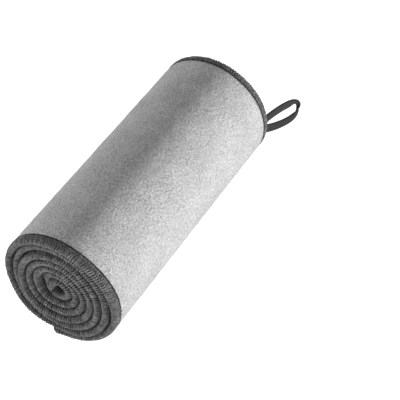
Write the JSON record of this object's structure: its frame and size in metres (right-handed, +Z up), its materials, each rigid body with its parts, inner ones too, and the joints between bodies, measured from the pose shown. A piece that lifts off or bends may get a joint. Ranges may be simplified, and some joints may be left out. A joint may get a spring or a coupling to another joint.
{
  "type": "quick dry towel",
  "caption": "Rolled microfibre travel towel with bound edges and a hanging loop of flat tape that flops at its root.",
  "frame": {"origin": "on the floor at mid length, under the middle of the roll", "axes": "+Z up; the roll lies along Y, open spiral end facing -Y, hanging loop end facing +Y"},
  "size_m": [0.0934, 0.2338, 0.085],
  "materials": {
    "plush": "short plush pile, matt",
    "edging": "ribbed overlock yarn, matt",
    "thread": "matt thread",
    "tape": "flat woven tape, matt"
  },
  "bodies": {
    "roll": {"towel_cloth": "plush", "near_edge_binding": "edging", "far_edge_binding": "edging", "outer_hem_binding": "edging", "inner_hem_binding": "edging", "near_edge_stitching": "thread", "far_edge_stitching": "thread", "outer_hem_stitching": "thread", "loop_tails": "tape"},
    "loop": {"hang_loop": "tape"}
  },
  "joints": [
    {"name": "loop_flop", "type": "hinge", "parent": "roll", "child": "loop", "pos_m": [0.03915, 0.1021, 0.044], "axis": [0, 0, 1], "range_deg": [-75, 90]}
  ]
}
